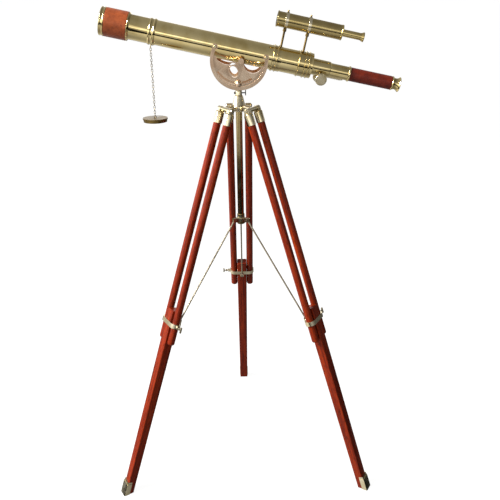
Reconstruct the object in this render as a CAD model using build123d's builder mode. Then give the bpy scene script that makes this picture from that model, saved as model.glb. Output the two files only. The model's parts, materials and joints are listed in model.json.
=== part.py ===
from build123d import *
from math import acos, atan2, cos, degrees, hypot, pi, radians, sin, tan
import os

# Brass refracting telescope on a folding wooden tripod. Millimetres, +Z up, the origin on the
# floor under the middle of the tripod. The objective end of the telescope points to -X.

# ---- driving dimensions: tripod -------------------------------------------------------------
hinge_z = 1321.0         # height of the leg hinges above the floor
hinge_r = 48.3           # distance of a leg hinge from the column's axis
splay = 18.5             # lean of each leg from the vertical, degrees
leg_azimuths = {"a": 210.0, "b": 330.0, "c": 90.0}
rod_r = 12.5             # upper leg rods
rod_start = 14.0
ferrule_r = rod_r + 1.7
ferrule_end = 46.0
clamp_at = 727.7         # middle of the sliding clamp, down the leg from the hinge
rod_end = clamp_at + 70.3  # lower end of the rods, down the leg
clamp_height = 15.0
clamp_wall = 2.8
bar_width = 36.4
bar_thick = 31.0
bar_top = clamp_at - 45.7
bar_taper = 0.5          # the bar loses this share of a degree each side below the clamp
slip = 0.3               # gap between a sliding wooden bar and what it slides in
rod_gap = bar_width + 2 * (rod_r + slip)  # between the axes of a pair of rods
pin_r = 3.0
run = 0.05               # radial clearance of a running fit
eye_thick = 18.0
head_bar_half = (rod_gap - eye_thick) / 2 - 0.4
column_r = 10.5
column_bottom = hinge_z - 387
hub_z = hinge_z - 373    # height of the stay pivots on the hub
hub_r = 15.0
stay_pivot_r = 24.0      # distance of a stay pivot from the column's axis
stay_r = 2.8
stay_reach = 30.0        # how far the lower stay pin stands in from the middle of the leg
stay_slot_along = 5.4
stay_slot_r = 3.4
stay_pin_r = 1.6

# ---- driving dimensions: mount --------------------------------------------------------------
barrel_r = 37.0
tilt_z = hinge_z + 158   # height of the altitude axis
tilt_drop = 20.0         # altitude axis below the telescope's axis
rest_tilt = 12.5         # the eyepiece end is this many degrees low
slot_r = 74.0            # arc slot of the half-moon cheeks, about the altitude axis
slot_half_angle = 44.0
bolt_r = 4.0
slot_clear = 0.3
cheek_inner = barrel_r + 1  # inner face of each cheek from the middle plane
cheek_web = 6.0
cheek_rim = 10.0
moon_r = 88.6            # outside of the half-moon rim
moon_drop = 25.6         # centre of the rim below the telescope's axis
moon_rim_width = 10.5
moon_shift = 4.5         # the half-moon sits this far to the eyepiece side of the altitude axis
lug_u = 79.1
lug_r = 8.6
neck_r = 10.6
neck_top = hinge_z + 55
shaft_r = 6.5

# ---- driving dimensions: telescope, places measured along its axis from the half-moon -------
barrel_wall = 2.0
front_end = -428.0
leather_front = -413.5
leather_back = -345.0
leather_r = barrel_r + 5.8
leather_thick = 3.0
front_tube_end = -279.5
mid_ring_end = -258.5
barrel_end = 227.0
sleeve_end = 289.0
draw_r = 21.0
sleeve_r = draw_r + 3.8
draw_wall = 1.9
draw_end = 347.0
grip_start = 353.0
grip_end = 488.5
grip_r = draw_r + 0.2
grip_leather = 2.0
eyecup_end = 515.0
pinion_at = 264.0
pinion_teeth = 12
pinion_r = 6.0           # pitch radius
rack_pitch_drop = draw_r + 4  # rack pitch line below the telescope's axis
knob_r = 18.5
finder_up = barrel_r + 78  # finder axis above the telescope's axis
finder_start = 94.0
finder_end = 299.0
finder_r = 22.4
finder_wall = 1.6
finder_draw_r = 10.8
finder_eye_end = 367.0
post_at = (124.0, 195.0)
post_r = 3.4
chain_at = -269.0        # ring that the dust cap's chain hangs from
chain_wire = 0.8
chain_links = 26
chain_pitch = 8.0
cap_r = barrel_r + 2.6
cap_depth = 12.0
cap_lip = 5.0            # knurled edge that stays outside the rim

os.makedirs("parts", exist_ok=True)


def keep(piece, name):
    """Label a finished piece and write it as the node of that name."""
    piece.part.label = name
    export_step(piece.part, f"parts/{name}.step")


# =============================================================================================
# Tripod legs
# =============================================================================================
def radial(leg):
    return Vector(cos(radians(leg_azimuths[leg])), sin(radians(leg_azimuths[leg])), 0)


def tangent(leg):
    return Vector(-sin(radians(leg_azimuths[leg])), cos(radians(leg_azimuths[leg])), 0)


def leg_plane(leg, down):
    """Cross-section of a leg, that far down from its hinge: x along the hinge, y inwards."""
    lean = radians(splay)
    upwards = Vector(0, 0, 1) * cos(lean) - radial(leg) * sin(lean)
    origin = radial(leg) * hinge_r + Vector(0, 0, hinge_z) - upwards * down
    return Plane(origin=origin, x_dir=tangent(leg), z_dir=upwards)


def hinge_plane(leg, along):
    """Plane square to the leg's hinge axis, that far along it: x outwards, y up."""
    origin = radial(leg) * hinge_r + Vector(0, 0, hinge_z) + tangent(leg) * along
    return Plane(origin=origin, x_dir=radial(leg), z_dir=tangent(leg) * -1)


rod_sides = (-rod_gap / 2, rod_gap / 2)
clamp_width = rod_gap + 2 * (rod_r + clamp_wall)
clamp_thick = bar_thick + 2 * (slip + clamp_wall)
bar_slot = rod_gap - 2 * rod_r + 0.4
leg_length = hinge_z / cos(radians(splay))


def make_ferrules(leg):
    """Brass caps on the tops of a pair of rods, each with the flat eye that turns on the pin."""
    with BuildPart() as ferrules:
        for side in rod_sides:
            with BuildSketch(leg_plane(leg, ferrule_end)):
                with Locations((side, 0)):
                    Circle(ferrule_r)
            extrude(amount=ferrule_end - 12)
            with BuildSketch(leg_plane(leg, 12)):
                with Locations((side, 0)):
                    Circle(ferrule_r)
            extrude(amount=4, taper=35)
            with BuildSketch(hinge_plane(leg, side - eye_thick / 2)):
                Circle(8.6)
            extrude(amount=-eye_thick)
            with BuildSketch(leg_plane(leg, 10)):
                with Locations((side, 0)):
                    Rectangle(eye_thick, 17.0)
            extrude(amount=8)
        for side in rod_sides:
            with BuildSketch(leg_plane(leg, ferrule_end)):
                with Locations((side, 0)):
                    Circle(rod_r)
            extrude(amount=ferrule_end - rod_start, mode=Mode.SUBTRACT)
        with BuildSketch(hinge_plane(leg, -rod_gap)):
            Circle(pin_r)
        extrude(amount=-2 * rod_gap, mode=Mode.SUBTRACT)
    keep(ferrules, f"leg_{leg}_ferrules")


def make_rods(leg):
    with BuildPart() as rods:
        for side in rod_sides:
            with BuildSketch(leg_plane(leg, rod_end)):
                with Locations((side, 0)):
                    Circle(rod_r)
            extrude(amount=rod_end - rod_start)
        fillet(rods.faces().group_by(Axis.Z)[0].edges(), rod_r * 0.45)
    keep(rods, f"leg_{leg}_rods")


def make_pins(leg):
    """The hinge pin through both ferrule eyes and the head's crossbar, and the clamp's stay pin."""
    half = rod_gap / 2 + eye_thick / 2
    with BuildPart() as pins:
        with BuildSketch(hinge_plane(leg, -half)):
            Circle(pin_r)
        extrude(amount=-2 * half)
        for end, outwards in ((-half, 1), (half, -1)):
            with BuildSketch(hinge_plane(leg, end)):
                Circle(6.0)
            extrude(amount=outwards * 3.0, taper=25)
        with BuildSketch(pin_plane(leg, -5.8)):
            Circle(stay_pin_r)
        extrude(amount=-11.6)
        for end, outwards in ((-5.8, 1), (5.8, -1)):
            with BuildSketch(pin_plane(leg, end)):
                Circle(3.0)
            extrude(amount=outwards * 1.4, taper=20)
    keep(pins, f"leg_{leg}_pins")


def make_clamp(leg):
    """Brass band round both rods and the sliding bar, with the screw boss and the stay's ears."""
    half = clamp_height / 2
    with BuildPart() as band:
        with BuildSketch(leg_plane(leg, clamp_at + half)):
            RectangleRounded(clamp_width, clamp_thick, clamp_thick / 2 - 1.0)
        extrude(amount=clamp_height)
        with BuildSketch(screw_plane(leg, clamp_width / 2 - 2)):
            Circle(6.2)
        extrude(amount=-11)
        with BuildSketch(leg_plane(leg, clamp_at + half - 3)):
            with Locations((0, (clamp_thick / 2 - 1 + stay_reach + 5) / 2)):
                Rectangle(11.6, stay_reach + 5 - clamp_thick / 2 + 1)
        extrude(amount=clamp_height - 6)
        with BuildSketch(leg_plane(leg, clamp_at + half + 30)):
            with Locations((0, clamp_thick / 2 + 10.4)):
                Rectangle(6.2, 20)
        extrude(amount=clamp_height + 60, mode=Mode.SUBTRACT)
        with BuildSketch(leg_plane(leg, clamp_at + half + 1)):
            with Locations((rod_sides[0], 0), (rod_sides[1], 0)):
                Circle(rod_r)
            Rectangle(bar_slot, bar_thick + 2 * slip)
        extrude(amount=clamp_height + 2, mode=Mode.SUBTRACT)
        with BuildSketch(screw_plane(leg, clamp_width / 2 + 0.8)):
            Circle(2.5 + run)
        extrude(amount=-12, mode=Mode.SUBTRACT)
        with BuildSketch(pin_plane(leg, -8)):
            Circle(stay_pin_r)
        extrude(amount=-16, mode=Mode.SUBTRACT)
    keep(band, f"leg_{leg}_clamp_band")


def screw_plane(leg, along):
    """Plane square to the clamp screw, that far along it: x inwards, y up the leg."""
    section = leg_plane(leg, clamp_at)
    return Plane(origin=section.origin + section.x_dir * along, x_dir=section.y_dir,
                 z_dir=section.x_dir * -1)


def pin_plane(leg, along):
    """Plane square to the lower stay pin, that far along it from the middle of the leg."""
    section = leg_plane(leg, clamp_at)
    return Plane(origin=section.origin + section.y_dir * stay_reach + section.x_dir * along,
                 x_dir=section.y_dir, z_dir=section.x_dir * -1)


def make_clamp_screw(leg):
    """Thumbscrew of the clamp: a stem with a crossbar to turn it by."""
    start = clamp_width / 2 + 1.1
    with BuildPart() as screw:
        with BuildSketch(screw_plane(leg, start)):
            Circle(2.5)
        extrude(amount=-24)
        with BuildSketch(screw_plane(leg, start + 11)):
            Circle(4.6)
        extrude(amount=-5)
        with BuildSketch(screw_plane(leg, start + 22)):
            SlotOverall(21, 6.0, rotation=90)
        extrude(amount=-4.6)
    keep(screw, f"leg_{leg}_clamp_screw")


def make_bar(leg):
    """Sliding lower leg: a hardwood bar that narrows to the foot and is cut level at the floor."""
    with BuildPart() as bar:
        with BuildSketch(leg_plane(leg, bar_top)) as top:
            RectangleRounded(bar_width, bar_thick, 3.0)
        extrude(amount=-(rod_end - bar_top))
        with BuildSketch(leg_plane(leg, rod_end)) as section:
            RectangleRounded(bar_width, bar_thick, 3.0)
        extrude(amount=-(leg_length - rod_end + 20), taper=bar_taper * 0.36)
        split(bisect_by=Plane.XY, keep=Keep.TOP)
    keep(bar, f"lower_leg_{leg}_bar")
    return bar


def make_shoe(leg, bar):
    """Brass corner shoe that wraps the outer half of the foot, with two screws."""
    wall = 2.2
    with BuildPart() as shoe:
        with BuildSketch(leg_plane(leg, leg_length - 48)):
            with Locations((0, -bar_thick / 2 + 6)):
                RectangleRounded(bar_width - 2, 17 + 2 * wall - 4, 2.5)
        extrude(amount=-70)
        with BuildSketch(leg_plane(leg, leg_length - 40)):
            with Locations((0, -bar_thick / 2 + 5)):
                RectangleRounded(bar_width + 2 * wall - 4.4, 16 + 2 * wall, 3.5)
        extrude(amount=-64)
        split(bisect_by=Plane.XY, keep=Keep.TOP)
        add(bar.part, mode=Mode.SUBTRACT)
    keep(shoe, f"lower_leg_{leg}_shoe")


def clamp_pin_place():
    """Radius and height of the lower stay pins."""
    lean = radians(splay)
    out = hinge_r + clamp_at * sin(lean) - stay_reach * cos(lean)
    up = hinge_z - clamp_at * cos(lean) - stay_reach * sin(lean)
    return out, up


pin_out, pin_up = clamp_pin_place()
stay_length = hypot(pin_out - stay_pivot_r, hub_z - pin_up)
stay_angle = atan2(pin_out - stay_pivot_r, hub_z - pin_up)


def stay_plane(leg, down):
    """Cross-section of a stay, that far down from its pivot on the hub."""
    upwards = Vector(0, 0, 1) * cos(stay_angle) - radial(leg) * sin(stay_angle)
    origin = radial(leg) * stay_pivot_r + Vector(0, 0, hub_z) - upwards * down
    return Plane(origin=origin, x_dir=tangent(leg), z_dir=upwards)


def stay_side_plane(leg, down, along):
    """Plane square to a stay's pivot: x down the stay."""
    section = stay_plane(leg, down)
    return Plane(origin=section.origin + section.x_dir * along, x_dir=section.z_dir * -1,
                 z_dir=section.x_dir * -1)


def make_stay(leg):
    """Thin brass stay from the hub to the clamp, its lower eye a slot over the clamp's pin."""
    eye_half = 2.5
    with BuildPart() as stay:
        with BuildSketch(stay_plane(leg, stay_length - stay_slot_along - stay_slot_r - 1)):
            Circle(stay_r)
        extrude(amount=stay_length - stay_slot_along - stay_slot_r - 5)
        with BuildSketch(stay_side_plane(leg, 0, -eye_half)):
            Circle(5.2)
            Circle(stay_pin_r + run, mode=Mode.SUBTRACT)
        extrude(amount=-2 * eye_half)
        with BuildSketch(stay_side_plane(leg, stay_length, -eye_half)):
            SlotCenterToCenter(2 * stay_slot_along, 2 * (stay_slot_r + 2.4))
            SlotCenterToCenter(2 * stay_slot_along, 2 * stay_slot_r, mode=Mode.SUBTRACT)
        extrude(amount=-2 * eye_half)
    keep(stay, f"stay_{leg}")


for leg in leg_azimuths:
    make_ferrules(leg)
    make_rods(leg)
    make_clamp(leg)
    make_pins(leg)
    make_clamp_screw(leg)
    bar = make_bar(leg)
    make_shoe(leg, bar)
    make_stay(leg)

# =============================================================================================
# Head, column and hub
# =============================================================================================
socket_top = hinge_z + 9
head_bottom = hinge_z - 9
shaft_bottom = hinge_z + 19

with BuildPart() as head:
    with BuildSketch(Plane.XZ):
        with BuildLine():
            Polyline((0, head_bottom), (18, head_bottom), (21, head_bottom + 3),
                     (21, head_bottom + 8), (23, head_bottom + 10), (23, head_bottom + 16),
                     (20.5, head_bottom + 19), (13.2, neck_top - 15), (neck_r, neck_top - 13),
                     (neck_r, neck_top - 1), (neck_r - 1, neck_top), (0, neck_top), close=True)
        make_face()
    revolve(axis=Axis.Z)
    for leg in leg_azimuths:
        arm_start = radial(leg) * 12 + Vector(0, 0, head_bottom + 13)
        arm_end = radial(leg) * (hinge_r - 2) + Vector(0, 0, hinge_z)
        along_arm = (arm_end - arm_start).normalized()
        arm_root = Plane(origin=arm_start, x_dir=tangent(leg), z_dir=along_arm)
        arm_tip = Plane(origin=arm_end, x_dir=tangent(leg), z_dir=along_arm)
        with BuildSketch(arm_root):
            RectangleRounded(17, 20, 6)
        with BuildSketch(arm_tip):
            RectangleRounded(13, 13, 5)
        loft()
        with BuildSketch(hinge_plane(leg, -head_bar_half)):
            Circle(7.6)
        extrude(amount=-2 * head_bar_half)
    with BuildSketch(Plane.XY.offset(neck_top)):
        Circle(shaft_r + run)
    extrude(amount=-(neck_top - shaft_bottom), mode=Mode.SUBTRACT)
    with BuildSketch(Plane.XY.offset(head_bottom)):
        Circle(column_r)
    extrude(amount=socket_top - head_bottom, mode=Mode.SUBTRACT)
    for leg in leg_azimuths:
        with BuildSketch(hinge_plane(leg, -head_bar_half - 1)):
            Circle(pin_r + run)
        extrude(amount=-2 * head_bar_half - 2, mode=Mode.SUBTRACT)
    with BuildSketch(Plane.YZ.offset(shaft_r)):
        with Locations((0, neck_top - 6.5)):
            Circle(1.8 + run)
    extrude(amount=neck_r, mode=Mode.SUBTRACT)
    with BuildSketch(Plane.YZ.offset(-shaft_r)):
        with Locations((0, neck_top - 6.5)):
            Circle(1.8)
    extrude(amount=-neck_r, mode=Mode.SUBTRACT)
keep(head, "head_casting")

with BuildPart() as column:
    with BuildSketch(Plane.XY.offset(column_bottom)):
        Circle(column_r)
        Circle(column_r - 2, mode=Mode.SUBTRACT)
    extrude(amount=socket_top - column_bottom)
keep(column, "column_tube")

stop_top = hub_z - 9
with BuildPart() as stop:
    with BuildSketch(Plane.XZ):
        with BuildLine():
            Polyline((0, column_bottom), (0, column_bottom - 5), (6, column_bottom - 5),
                     (13, column_bottom - 2), (14.5, column_bottom + 1),
                     (14.5, stop_top - 0.5), (14, stop_top), (column_r, stop_top),
                     (column_r, column_bottom), close=True)
        make_face()
    revolve(axis=Axis.Z)
keep(stop, "column_stop_cap")

hub_bottom = stop_top + 0.3
with BuildPart() as hub:
    with BuildSketch(Plane.XZ):
        with BuildLine():
            Polyline((0, hub_bottom), (hub_r, hub_bottom), (hub_r, hub_z + 4),
                     (hub_r - 2.5, hub_z + 6), (12.6, hub_z + 15), (12.6, hub_z + 18),
                     (0, hub_z + 18), close=True)
        make_face()
    revolve(axis=Axis.Z)
    for leg in leg_azimuths:
        lug = Plane(origin=Vector(0, 0, hub_bottom), x_dir=tangent(leg), z_dir=(0, 0, 1))
        with BuildSketch(lug):
            with Locations((0, -(stay_pivot_r + 12) / 2 - 2)):
                Rectangle(11.4, stay_pivot_r + 12 - 14)
        extrude(amount=hub_z + 5 - hub_bottom)
    for leg in leg_azimuths:
        lug = Plane(origin=Vector(0, 0, hub_bottom - 1), x_dir=tangent(leg), z_dir=(0, 0, 1))
        with BuildSketch(lug):
            with Locations((0, -stay_pivot_r - 3.5)):
                Rectangle(5.6, 20)
        extrude(amount=hub_z + 10 - hub_bottom, mode=Mode.SUBTRACT)
        with BuildSketch(Plane(origin=radial(leg) * stay_pivot_r + Vector(0, 0, hub_z)
                               - tangent(leg) * 8, x_dir=radial(leg), z_dir=tangent(leg))):
            Circle(stay_pin_r)
        extrude(amount=16, mode=Mode.SUBTRACT)
    with BuildSketch(Plane.XY.offset(hub_bottom - 1)):
        Circle(column_r + 0.08)
    extrude(amount=30, mode=Mode.SUBTRACT)
keep(hub, "stay_hub")

with BuildPart() as hub_pins:
    for leg in leg_azimuths:
        pin_start = radial(leg) * stay_pivot_r + Vector(0, 0, hub_z) - tangent(leg) * 5.7
        with BuildSketch(Plane(origin=pin_start, x_dir=radial(leg), z_dir=tangent(leg))):
            Circle(stay_pin_r)
        extrude(amount=11.4)
keep(hub_pins, "hub_pins")

with BuildPart() as neck_screw:
    with BuildSketch(Plane.YZ.offset(shaft_r + run + 0.3)):
        with Locations((0, neck_top - 6.5)):
            Circle(1.8)
    extrude(amount=15)
    with BuildSketch(Plane.YZ.offset(shaft_r + 14)):
        with Locations((0, neck_top - 6.5)):
            SlotOverall(17, 4.4, rotation=90)
    extrude(amount=3)
keep(neck_screw, "neck_thumbscrew")

with BuildPart() as neck_stud:
    with BuildSketch(Plane.YZ.offset(-shaft_r - run - 0.3)):
        with Locations((0, neck_top - 6.5)):
            Circle(1.8)
    extrude(amount=-(neck_r - shaft_r + 2.5))
    with BuildSketch(Plane.YZ.offset(-neck_r - 0.4)):
        with Locations((0, neck_top - 6.5)):
            Circle(4.0)
    extrude(amount=-3.6, taper=12)
keep(neck_stud, "neck_stop_screw")

# =============================================================================================
# Yoke: the shaft that turns in the neck, the crossbar between the cheeks, and its clamp
# =============================================================================================
slot_z = tilt_z - slot_r
crossbar_half = cheek_inner - 0.4
with BuildPart() as yoke:
    with BuildSketch(Plane.XY.offset(shaft_bottom + 1)):
        Circle(shaft_r)
    extrude(amount=slot_z - shaft_bottom - 1)
    with BuildSketch(Plane.XY.offset(neck_top + 0.3)):
        Circle(neck_r)
    extrude(amount=3)
    with BuildSketch(Plane.XY.offset(neck_top + 3.3)):
        Circle(9.0)
    extrude(amount=slot_z - neck_top - 3.3)
    with BuildSketch(Plane.XZ.offset(-crossbar_half)):
        with Locations((0, slot_z)):
            Circle(11.5)
    extrude(amount=2 * crossbar_half)
    fillet(yoke.edges().filter_by(GeomType.CIRCLE).group_by(Axis.Y)[0], 1.0)
    fillet(yoke.edges().filter_by(GeomType.CIRCLE).group_by(Axis.Y)[-1], 1.0)
    with BuildSketch(Plane.XZ.offset(-crossbar_half - 1)):
        with Locations((0, slot_z)):
            Circle(bolt_r)
    extrude(amount=2 * crossbar_half + 2, mode=Mode.SUBTRACT)
keep(yoke, "yoke_post")

web_face = cheek_inner + cheek_web
washer_near = web_face + 0.3
washer_thick = 1.8
knob_near = washer_near + washer_thick + 0.3
ball_r = 10.0
with BuildPart() as bolt:
    with BuildSketch(Plane.XZ.offset(-washer_near - washer_thick - 0.3)):
        with Locations((0, slot_z)):
            Circle(bolt_r)
    extrude(amount=washer_near + washer_thick + 0.3 + knob_near + 9)
    with BuildSketch(Plane.XZ.offset(-washer_near - washer_thick - 0.3)):
        with Locations((0, slot_z)):
            RegularPolygon(6.6, 6, major_radius=True)
    extrude(amount=-6.0)
    for start in (washer_near, -washer_near - washer_thick):
        with BuildSketch(Plane.XZ.offset(start)):
            with Locations((0, slot_z)):
                Circle(6.0)
        extrude(amount=washer_thick)
keep(bolt, "clamp_bolt")

with BuildPart() as ball:
    with BuildSketch(Plane.XY.offset(slot_z)):
        with Locations((0, -knob_near - 11.5)):
            Circle(ball_r)
            Rectangle(2 * ball_r, 2 * ball_r, align=(Align.MAX, Align.CENTER),
                      mode=Mode.SUBTRACT)
    revolve(axis=Axis((0, 0, slot_z), (0, 1, 0)))
    with BuildSketch(Plane.XZ.offset(knob_near)):
        with Locations((0, slot_z)):
            Circle(6.6)
    extrude(amount=5)
    with BuildSketch(Plane.XZ.offset(knob_near - 1)):
        with Locations((0, slot_z)):
            Circle(bolt_r + run)
    extrude(amount=11, mode=Mode.SUBTRACT)
keep(ball, "clamp_ball_knob")

# =============================================================================================
# Telescope. Its side plane has x along the axis to the eyepiece and y upwards.
# =============================================================================================
lean_u = Vector(cos(radians(rest_tilt)), 0, -sin(radians(rest_tilt)))
lean_w = Vector(sin(radians(rest_tilt)), 0, cos(radians(rest_tilt)))
tilt_centre = Vector(0, 0, tilt_z)
scope_centre = tilt_centre + lean_w * tilt_drop
side_plane = Plane(origin=scope_centre, x_dir=lean_u, z_dir=(0, -1, 0))
scope_axis = Axis(scope_centre, lean_u)
finder_axis = Axis(scope_centre + lean_w * finder_up, lean_u)


def across(along, up=0.0, out=0.0):
    """Plane square to the telescope's axis: x to the back (+Y), y up, z to the eyepiece."""
    origin = scope_centre + lean_u * along + lean_w * up + Vector(0, out, 0)
    return Plane(origin=origin, x_dir=(0, 1, 0), z_dir=lean_u)


def side_at(out):
    """The side plane moved that far towards -Y."""
    return Plane(origin=scope_centre - Vector(0, out, 0), x_dir=lean_u, z_dir=(0, -1, 0))


def up_from(along, up):
    """Plane square to the telescope's upward direction."""
    return Plane(origin=scope_centre + lean_u * along + lean_w * up, x_dir=lean_u, z_dir=lean_w)


def turned(outline, axis=scope_axis, up=0.0):
    """A turned piece: its half section, as places along the axis and radii, spun about it."""
    with BuildPart() as piece:
        with BuildSketch(side_plane):
            with BuildLine():
                Polyline(*[(along, radius + up) for along, radius in outline], close=True)
            make_face()
        revolve(axis=axis)
    return piece


def lens_section(front, back, radius, front_bulge, back_bulge, up=0.0):
    """Half section of a lens: its middle from front to back, each face curving in to the rim."""
    with BuildSketch() as section:
        with BuildLine():
            face_1 = ThreePointArc((front + front_bulge, up - radius), (front, up),
                                   (front + front_bulge, up + radius))
            face_2 = ThreePointArc((back - back_bulge, up - radius), (back, up),
                                   (back - back_bulge, up + radius))
            Line(face_1 @ 0, face_2 @ 0)
            Line(face_1 @ 1, face_2 @ 1)
        make_face()
        with Locations((front - 1, up)):
            Rectangle(back - front + 2, 2 * radius, align=(Align.MIN, Align.MAX),
                      mode=Mode.SUBTRACT)
    return section.sketch


barrel_inner = barrel_r - barrel_wall
finder_inner = finder_r - finder_wall

# ---- half-moon cheeks -----------------------------------------------------------------------
lug_face = cheek_inner + cheek_rim + 0.8
# middle line of the curved slot that the clamp bolt runs in
slot_line = CenterArc((0, -tilt_drop), slot_r, -90 - slot_half_angle, 2 * slot_half_angle)
lug_places = (moon_shift - lug_u, moon_shift + lug_u)
web_top = -26.0
with BuildPart() as cheeks:
    for facing in (1, -1):
        with BuildSketch(side_at(facing * cheek_inner)):
            with Locations((moon_shift, -moon_drop)):
                Circle(moon_r - moon_rim_width / 2)
            with Locations((0, web_top)):
                Rectangle(4 * moon_r, 3 * moon_r, align=(Align.CENTER, Align.MIN),
                          mode=Mode.SUBTRACT)
            with Locations((48, web_top)):
                Circle(28.5, mode=Mode.SUBTRACT)
            with Locations((-31, web_top)):
                Ellipse(35, 19, mode=Mode.SUBTRACT)
            with Locations((-5, -61)):
                Ellipse(17.5, 12.5, rotation=-58, mode=Mode.SUBTRACT)
        extrude(amount=facing * cheek_web)
        with BuildSketch(side_at(facing * cheek_inner)):
            with Locations((moon_shift, -moon_drop)):
                Circle(moon_r)
                Circle(moon_r - moon_rim_width, mode=Mode.SUBTRACT)
            with Locations((0, 0)):
                Rectangle(4 * moon_r, 3 * moon_r, align=(Align.CENTER, Align.MIN),
                          mode=Mode.SUBTRACT)
        extrude(amount=facing * cheek_rim)
        with BuildSketch(side_at(facing * (barrel_r - 2.5))):
            with Locations(*[(place, 0) for place in lug_places]):
                Circle(lug_r)
        extrude(amount=facing * (lug_face - barrel_r + 2.5))
        with BuildSketch(side_at(facing * cheek_inner)):
            with Locations((11, web_top)):
                Circle(8.6)
            with Locations((-5, -61)):
                Ellipse(21, 16, rotation=-58)
                Ellipse(17.5, 12.5, rotation=-58, mode=Mode.SUBTRACT)
        extrude(amount=facing * (cheek_rim - 2))
        with BuildSketch(side_at(facing * (cheek_inner - 1))):
            SlotArc(slot_line, 2 * (bolt_r + slot_clear))
        extrude(amount=facing * (cheek_rim + 4), mode=Mode.SUBTRACT)
        with BuildSketch(side_at(facing * barrel_inner)):
            with Locations(*[(place, 0) for place in lug_places]):
                Circle(3.0)
        extrude(amount=facing * (cheek_rim + 10), mode=Mode.SUBTRACT)
    with BuildSketch(across(-2 * lug_u)):
        Circle(barrel_r)
    extrude(amount=4 * lug_u, mode=Mode.SUBTRACT)
keep(cheeks, "half_moon_cheeks")

with BuildPart() as lug_screws:
    for facing in (1, -1):
        for place in lug_places:
            with BuildSketch(side_at(facing * barrel_inner)):
                with Locations((place, 0)):
                    Circle(3.0)
            extrude(amount=facing * (lug_face - barrel_inner))
            with BuildSketch(side_at(facing * lug_face)):
                with Locations((place, 0)):
                    Circle(6.0)
            extrude(amount=facing * 3.5, taper=28)
keep(lug_screws, "lug_screws")

# ---- barrel and its front -------------------------------------------------------------------
tube_outer = leather_r - leather_thick
front_tube = turned([
    (front_end, barrel_inner + 3), (front_end, leather_r - 1.4), (front_end + 1.4, leather_r),
    (front_end + 4, leather_r), (front_end + 5.2, leather_r - 1.2),
    (leather_front - 4, leather_r - 1.2), (leather_front - 3, leather_r + 0.4),
    (leather_front - 1, leather_r + 0.4), (leather_front, leather_r - 0.6),
    (leather_front, tube_outer), (leather_back, tube_outer), (leather_back, leather_r - 0.5),
    (leather_back + 1.2, leather_r), (leather_back + 3, leather_r - 1),
    (leather_back + 5, barrel_r + 1.6), (leather_back + 7, barrel_r + 0.2),
    (front_tube_end, barrel_r + 0.2), (front_tube_end, barrel_inner),
    (leather_front + 12, barrel_inner), (leather_front + 12, barrel_inner + 3),
])
keep(front_tube, "front_tube")

leather = turned([
    (leather_front, tube_outer), (leather_front, leather_r - 0.8),
    (leather_front + 1.2, leather_r), (leather_back - 1.2, leather_r),
    (leather_back, leather_r - 0.8), (leather_back, tube_outer),
])
keep(leather, "front_leather_wrap")

cell_start = leather_front + 2
lens_r = barrel_inner - 0.5
cell = turned([
    (cell_start - 1.5, lens_r - 2.5), (cell_start - 1.5, barrel_inner + 3),
    (leather_front + 12, barrel_inner + 3), (leather_front + 12, lens_r - 2.5),
    (cell_start + 8.6, lens_r - 2.5), (cell_start + 8.6, lens_r), (cell_start, lens_r),
    (cell_start, lens_r - 2.5),
])
keep(cell, "objective_cell")

with BuildPart() as lenses:
    with BuildSketch(side_plane):
        add(lens_section(cell_start, cell_start + 6, lens_r, 1.5, 2.4))
    revolve(axis=scope_axis)
    with BuildSketch(side_plane):
        add(lens_section(finder_start + 4, finder_start + 8, finder_inner, 1.4, 0.6, finder_up))
    revolve(axis=finder_axis)
keep(lenses, "objective_lenses")

mid_ring = turned([
    (front_tube_end, barrel_r), (front_tube_end, barrel_r + 2), (front_tube_end + 2, barrel_r + 3),
    (front_tube_end + 4, barrel_r + 3), (front_tube_end + 6, barrel_r + 1.4),
    (mid_ring_end - 9, barrel_r + 1.4), (mid_ring_end - 7, barrel_r + 3),
    (mid_ring_end - 4, barrel_r + 3), (mid_ring_end - 2, barrel_r + 1.6),
    (mid_ring_end, barrel_r + 1.0), (mid_ring_end, barrel_r),
])
eye_drop = barrel_r + 9
eye_ring_r = 3.5
eye_wire = 0.9
link_half_width = 2.6
link_top = chain_pitch / 2 + 0.05 + chain_wire - link_half_width    # link's middle to its bend
link_hang = link_half_width - chain_wire - eye_wire - 0.15
hook_centre = scope_centre + lean_u * chain_at - lean_w * eye_drop
with BuildPart() as ring_and_eye:
    add(mid_ring.part)
    with BuildSketch(up_from(chain_at, -eye_drop + eye_ring_r)):
        Circle(1.8)
    extrude(amount=5)
    with BuildSketch(Plane(origin=hook_centre, x_dir=(0, 1, 0), z_dir=(0, 0, 1))):
        with Locations((eye_ring_r, 0)):
            Circle(eye_wire)
    revolve(axis=Axis(hook_centre, (1, 0, 0)))
keep(ring_and_eye, "middle_ring")

main_barrel = turned([
    (front_tube_end, barrel_inner), (front_tube_end, barrel_r), (barrel_end, barrel_r),
    (barrel_end, barrel_inner),
])
with BuildPart() as barrel:
    add(main_barrel.part)
    for facing in (1, -1):
        with BuildSketch(side_at(facing * (barrel_inner - 3))):
            with Locations(*[(place, 0) for place in lug_places]):
                Circle(3.0)
        extrude(amount=facing * 8, mode=Mode.SUBTRACT)
keep(barrel, "main_barrel")


def ribbed_collar(start, end, ribs):
    """A brass collar on the barrel with raised ribs."""
    collar_r = barrel_r + 1.2
    outline = [(start, barrel_r), (start, collar_r)]
    for rib in ribs:
        outline += [(rib - 2.4, collar_r), (rib - 1.4, collar_r + 2.4), (rib + 1.4, collar_r + 2.4),
                    (rib + 2.4, collar_r)]
    outline += [(end, collar_r), (end, barrel_r)]
    return turned(outline)


front_collar = ribbed_collar(101.0, 131.0, (106.0, 117.0))
back_collar = ribbed_collar(182.0, barrel_end, (187.0, 206.0, 217.0))
with BuildPart() as collars:
    add(front_collar.part)
    add(back_collar.part)
    for place in post_at:
        with BuildSketch(up_from(place, barrel_r - 1)):
            Circle(post_r)
        extrude(amount=12, mode=Mode.SUBTRACT)
keep(collars, "barrel_collars")

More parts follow.
